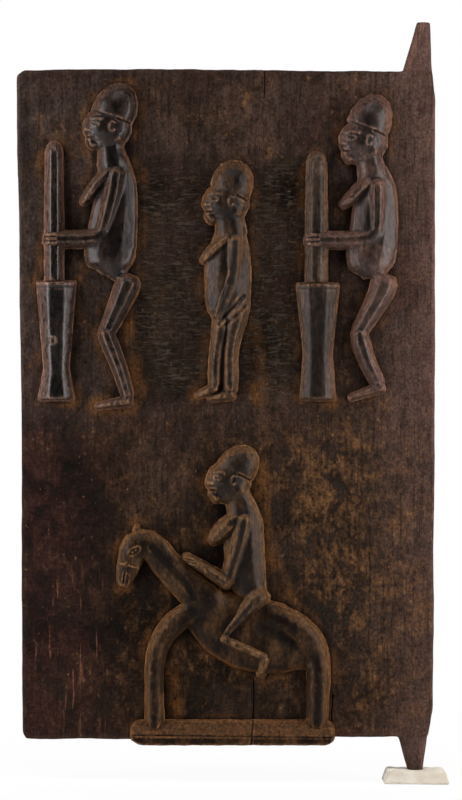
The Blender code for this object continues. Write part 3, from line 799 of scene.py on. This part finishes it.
# Patches that lighten or darken the ground: (x, y, reach, change)
TONE_PATCHES = [
    (-275, 325, 62, 0.55), (-325, 268, 50, 0.18), (-105, 290, 48, -0.28), (-60, 440, 40, -0.20),
    (-10, 170, 95, -0.14), (-200, 75, 48, 0.28), (-105, 740, 46, 0.28), (-275, 740, 50, 0.20),
    (-380, 670, 36, -0.18), (-105, 72, 40, 0.14),
]

# Where the ground beside a carving is rubbed to a glow: (line, reach)
GLOWS = [
    ([(-174, 350), (-171, 300), (-168, 250), (-162, 204)], 14.0),
    ([(-180, 488), (-176, 450), (-172, 415)], 15.0),
    ([(-158, 228), (-146, 205), (-138, 180)], 17.0),
    ([(-268, 110), (-266, 85), (-264, 58)], 12.0),
    ([(-303, 660), (-301, 610), (-303, 570)], 11.0),
    ([(-318, 500), (-310, 450), (-304, 420)], 12.0),
]

# How light the plain ground is, and the darkest that the patches and the rest of the tone make it
PLAIN_TONE = 0.80
DARKEST_TONE = 0.08

# How high the foot of a carving reaches
FOOT_HEIGHT = 3.0

# The map of what the carvings cover: its margins round the leaf, the size of a cell and the softness
SIDE_MARGIN = 60.0
TOP_MARGIN = 100.0
CELL = 2.0
SOFTNESS = 11.0


class Zones:
    """How far each point of the ground belongs to each zone of the leaf, from 0 to 1."""

    def __init__(self, points):
        x, y = points[:, 0], points[:, 1]
        self.lower = soft_fall(y, 330, 430)
        self.upper = 1 - self.lower
        self.rightwards = soft_step(x, -270, -60)
        self.hinge_side = soft_step(x, -75, 15)
        self.between_figures = soft_band(y, 395, 430, 650, 690) * soft_band(x, -318, -300, -125, -100)


def refine_near(mesh, lines, reach):
    """Splits the faces beside the drying checks, so that a narrow check has its own geometry."""
    bm = bmesh.new()
    bm.from_mesh(mesh)
    for _ in range(2):
        points = np.array([vert.co[:] for vert in bm.verts])
        near = np.full(len(points), np.inf)
        for line, _ in lines:
            near = np.minimum(near, distance_to_line(points, line))
        beside = (near < reach) & (points[:, 2] > -4)
        bm.verts.index_update()
        split = [edge for edge in bm.edges if all(beside[vert.index] for vert in edge.verts)]
        bmesh.ops.subdivide_edges(bm, edges=split, cuts=1, use_grid_fill=True)
    bm.to_mesh(mesh)
    bm.free()
    mesh.update()


def drying_checks(points):
    """How open a drying check is at each point of the front, from 0 to 1."""
    check = np.zeros(len(points))
    for line, half_width in CHECKS:
        check = np.maximum(check, soft_fall(distance_to_line(points, line), 0.15, half_width))
    return check * (points[:, 2] > -6)


def cover(points, carvings):
    """The share of the ground round each point that carvings cover, near 1 where they close it in."""
    low = np.array([FREE_EDGE - SIDE_MARGIN, -SIDE_MARGIN])
    high = np.array([HINGE_EDGE + SIDE_MARGIN, LEAF_TOP + TOP_MARGIN])
    cells = np.ceil((high - low) / CELL).astype(int)
    grid = np.zeros(cells)
    places = ((np.vstack(carvings)[:, :2] - low) / CELL).astype(int)
    grid[places[:, 0], places[:, 1]] = 1.0
    reach = np.arange(-3 * SOFTNESS, 3 * SOFTNESS + CELL, CELL)
    weights = np.exp(-0.5 * (reach / SOFTNESS) ** 2)
    weights /= weights.sum()
    for axis in (0, 1):
        grid = np.apply_along_axis(np.convolve, axis, grid, weights, "same")
    at = np.clip(((points[:, :2] - low) / CELL).astype(int), 0, cells - 1)
    return grid[at[:, 0], at[:, 1]]


def distance_to_feet(points, carvings):
    """Distance in the plane of the drawing from each point to the nearest foot of a carving."""
    feet = np.vstack([piece[piece[:, 2] < FOOT_HEIGHT] for piece in carvings])[:, :2]
    tree = KDTree(len(feet))
    for index, (x, y) in enumerate(feet):
        tree.insert((x, y, 0), index)
    tree.balance()
    return np.array([tree.find((x, y, 0))[2] for x, y, _ in points])


def patch_tone(points):
    """How much the patches lighten or darken each point."""
    ragged = 1 + 0.4 * noise_at(points, 24.0, 31)
    change = np.zeros(len(points))
    for x, y, reach, amount in TONE_PATCHES:
        away = np.hypot(points[:, 0] - x, points[:, 1] - y) * ragged
        change += amount * soft_fall(away, 0.2 * reach, reach)
    return change


def ground_tone(points, zones, front):
    """How light the ground is: dark between the figures and at the lower left, lighter at the hinge. The
    lift at the hinge is painted light, the falloff of the lamp on that side.
    """
    x = points[:, 0]
    # Painted light: hinge_side lightens the ground as the lamp on that side would.
    tone = PLAIN_TONE + 0.30 * zones.hinge_side - 0.40 * zones.between_figures
    tone -= 0.24 * zones.lower * zones.rightwards
    tone -= 0.24 * soft_fall(x, -430, -300) + 0.46 * zones.lower * soft_fall(x, -230, -130)
    tone = PLAIN_TONE + front * (tone + patch_tone(points) - PLAIN_TONE)
    tone += (0.44 - 0.16 * zones.lower) * noise_at(points, 60.0, 8) + 0.16 * noise_at(points, 130.0, 12)
    tone += 0.24 * zones.upper * noise_at(points * (1, 0.6, 1), 38.0, 27)
    return np.maximum(tone, DARKEST_TONE)


def ground_halo(points, away, enclosed_shade):
    """The golden rub along the feet of the carvings and in the glows beside them."""
    patchy = soft_step(noise_at(points, 26.0, 9), -0.35, 0.40)
    halo = 0.8 * soft_fall(away, 0.5, 4.0 + 9.0 * patchy) * (0.25 + 0.75 * patchy) * (1 - enclosed_shade)
    for line, reach in GLOWS:
        glow = soft_fall(distance_to_line(points, line), 0.2 * reach, reach) * (0.1 + 0.9 * patchy)
        halo = np.maximum(halo, glow)
    return halo


def ground_values(points, front, carvings):
    """What the plank's material needs to know of each point, by name."""
    x, y = points[:, 0], points[:, 1]
    zones = Zones(points)
    # Painted shade: ground that the carvings close in is darkened as their shade would darken it.
    enclosed_shade = soft_step(cover(points, carvings), 0.30, 0.64) * front
    halo = ground_halo(points, distance_to_feet(points, carvings), enclosed_shade)
    brightest = zones.rightwards * (1 - 0.4 * soft_step(x, -90, -20)) * (0.3 + 0.7 * soft_step(y, 90, 200))
    golden = np.clip(0.2 + zones.lower * (0.15 + 0.75 * brightest), 0, 1)
    reddish = 0.5 * zones.upper * soft_step(noise_at(points, 70.0, 15), 0.05, 0.45)
    purple = zones.lower * soft_fall(x, -400, -290) + reddish
    scored = zones.lower * soft_fall(y, 190, 240) * soft_band(x, -436, -424, -360, -330)
    chatter = np.clip(0.12 + 0.88 * zones.between_figures, 0, 1)
    bevel = soft_fall(distance_to_line(points, PIN_BEVEL), 2.5, 7.5) * soft_step(y, 768, 776)
    rim = np.minimum.reduce([LEAF_TOP - y, y - LEAF_FOOT, x - FREE_EDGE, HINGE_EDGE - x])
    pale = 0.6 * soft_fall(rim, -2.0, 7.0) + 0.45 * zones.hinge_side * (1 - 0.25 * zones.lower)
    ashy = zones.upper * (0.35 + 0.5 * soft_fall(x, -420, -280)) * (1 - zones.between_figures)
    return {
        "tone": ground_tone(points, zones, front),
        "open": 1 - 0.6 * enclosed_shade,
        "halo": halo * front,
        "golden": golden * front,
        "purple": purple * front,
        "scored": scored * front,
        "chatter": chatter * front,
        "bevel": bevel * front,
        "pale": np.clip(pale, 0, 1),
        "ashy": ashy,
    }


def plank(carvings, material):
    """The hewn leaf with its pins: uneven ground, drying checks and the marks round the carvings."""
    mesh = skin_of("door_plank", LEAF.inverted(), PLANK_VOXEL)
    set_positions(mesh, smoothed(positions(mesh), edge_ends(mesh), 2))
    refine_near(mesh, CHECKS, CHECK_REACH)
    points, outward = positions(mesh), normals(mesh)
    roll = 0.8 * noise_at(points * (1, 0.35, 1), 34.0, 3) + 0.35 * noise_at(points * (1, 0.5, 1), 9.0, 5)
    points += outward * (0.3 + roll)[:, None]
    check = drying_checks(points)
    points[:, 2] -= CHECK_DEPTH * check
    set_positions(mesh, points)
    front = soft_step(outward[:, 2], 0.3, 0.8)
    for name, values in ground_values(points, front, carvings).items():
        keep_values(mesh, name, values)
    keep_values(mesh, "crack", check)
    leaf_piece("hewn_plank", mesh, material, "door_plank")


# Pivot stone


def pivot_stone(material):
    """The cupped stone, roughened."""
    mesh = skin_of("pivot_stone", Matrix.Scale(1000, 4), STONE_VOXEL)
    points, outward = positions(mesh), normals(mesh)
    shake = 0.5 * noise_at(points, 9.0, 21) + 0.2 * noise_at(points, 3.0, 22)
    shake *= soft_step(points[:, 2], 0.4, 2.0)
    set_positions(mesh, smoothed(points + outward * (shake - 0.3)[:, None], edge_ends(mesh), 2))
    mesh.transform(Matrix.Scale(MILLIMETRE, 4))
    piece = new_piece("cupped_stone", mesh, material)
    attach(piece, "sill")
    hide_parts("pivot_stone")


# Studio

WHITE = (1, 1, 1, 1)
DIM_LIGHT = 0.045


def soft_light(name, place, aim, width, height, power):
    """A lit rectangle that points at aim. The camera doesn't see it."""
    lamp = bpy.data.lights.new(name, "AREA")
    lamp.shape = "RECTANGLE"
    lamp.size, lamp.size_y = width, height
    lamp.energy = power
    light = bpy.data.objects.new(name, lamp)
    light.location = place
    light.rotation_euler = (Vector(aim) - Vector(place)).to_track_quat("-Z", "Y").to_euler()
    light.visible_camera = False
    bpy.context.scene.collection.objects.link(light)


def studio_light():
    middle = (-0.21, 0.0, 0.42)
    soft_light("left softbox", (-0.84, -0.27, 0.50), middle, 0.22, 1.0, 6.2)
    soft_light("right softbox", (0.43, -0.29, 0.50), middle, 0.22, 1.0, 6.2)
    soft_light("top softbox", (-0.21, -0.75, 1.9), middle, 1.2, 0.6, 8.5)
    soft_light("back softbox", (-0.21, 1.3, 1.0), middle, 0.5, 0.8, 16.0)


def studio_world():
    """White behind the object for the eye and for reflections, and dim everywhere else."""
    world = bpy.data.worlds.new("studio")
    bpy.context.scene.world = world
    nodes = Nodes(world)
    dim = nodes.tree.nodes["Background"]
    dim.inputs["Color"].default_value = WHITE
    dim.inputs["Strength"].default_value = DIM_LIGHT
    white = nodes.add("ShaderNodeBackground", {"Color": WHITE, "Strength": 1.0})
    direction = nodes.add("ShaderNodeTexCoord").outputs["Generated"]
    depth = nodes.add("ShaderNodeSeparateXYZ", {"Vector": direction}).outputs["Y"]
    behind = nodes.ranged(depth, 0.1, 0.5, 0.0, 1.0)
    rays = nodes.add("ShaderNodeLightPath").outputs
    mirrored = nodes.math("ADD", rays["Is Glossy Ray"], rays["Is Transmission Ray"])
    seen = nodes.math("ADD", rays["Is Camera Ray"], nodes.times(mirrored, behind), clamp=True)
    both = {"Fac": seen, 1: dim.outputs["Background"], 2: white.outputs["Background"]}
    mix = nodes.add("ShaderNodeMixShader", both)
    nodes.feed(nodes.tree.nodes["World Output"].inputs["Surface"], mix.outputs["Shader"])


def floor_paint():
    """White paint that keeps a faint shadow near its middle and turns into plain white further out."""
    nodes = Nodes(bpy.data.materials.new("white_floor"))
    nodes.set_shader(Base_Color=(0.86, 0.86, 0.86, 1), Roughness=0.9)
    glow = nodes.add("ShaderNodeEmission", {"Color": WHITE, "Strength": 1.0})
    coordinates = nodes.add("ShaderNodeTexCoord").outputs["Object"]
    reach = nodes.add("ShaderNodeVectorMath", {0: coordinates}, operation="LENGTH").outputs["Value"]
    far = nodes.ranged(reach, 0.2, 0.9, 0.93, 1.0)
    rays = nodes.add("ShaderNodeLightPath").outputs
    seen = nodes.math("ADD", rays["Is Camera Ray"], rays["Is Glossy Ray"])
    seen = nodes.math("ADD", seen, rays["Is Transmission Ray"])
    both = {"Fac": nodes.times(far, seen), 1: nodes.shader().outputs["BSDF"], 2: glow.outputs["Emission"]}
    mix = nodes.add("ShaderNodeMixShader", both)
    nodes.feed(nodes.tree.nodes["Material Output"].inputs["Surface"], mix.outputs["Shader"])
    return nodes.owner


def floor():
    """A round white floor, just under the stone."""
    bm = bmesh.new()
    bmesh.ops.create_circle(bm, cap_ends=True, segments=64, radius=1.6)
    mesh = bpy.data.meshes.new("floor")
    bm.to_mesh(mesh)
    bm.free()
    mesh.materials.append(floor_paint())
    ground = bpy.data.objects.new("floor", mesh)
    ground.location = (-0.2, 0, -0.0005)
    bpy.context.scene.collection.objects.link(ground)


def photo_camera():
    """Straight on to the leaf, framed as the photograph is, with the leaf's own upright kept."""
    data = bpy.data.cameras.new("camera")
    camera = bpy.data.objects.new("camera", data)
    bpy.context.scene.collection.objects.link(camera)
    width, height = PHOTO_SIZE
    x = (width / 2 - LOWER_TIP_PIXEL[0]) * PIXEL
    y = (LOWER_TIP_PIXEL[1] - height / 2) * PIXEL
    middle = LEAF @ Vector((x, y, 0))
    upright = Matrix.Rotation(-HANG_TILT, 4, "Y") @ Matrix.Rotation(math.radians(90), 4, "X")
    camera.matrix_world = Matrix.Translation(middle + Vector((0, -CAMERA_DISTANCE, 0))) @ upright
    data.sensor_width = SENSOR_WIDTH
    data.lens = SENSOR_WIDTH * CAMERA_DISTANCE / (height * PIXEL * MILLIMETRE)
    bpy.context.scene.camera = camera


# Assembly


def build():
    """Every piece of the door: the carvings first, because the plank is marked round them."""
    woods = {name: carved_wood(name, *look) for name, look in WOODS.items()}
    skins = []
    for number, name in enumerate(GROUPS):
        mesh = carving(name, FIRST_CARVING_SEED + 2 * number)
        skins.append(positions(mesh))
        leaf_piece(name + "_carved", mesh, woods[WOOD_OF[name]], name)
    plank(skins, plank_wood())
    pivot_stone(stone_look())


build()
studio_light()
studio_world()
floor()
photo_camera()
bpy.context.scene.view_settings.view_transform = "Standard"
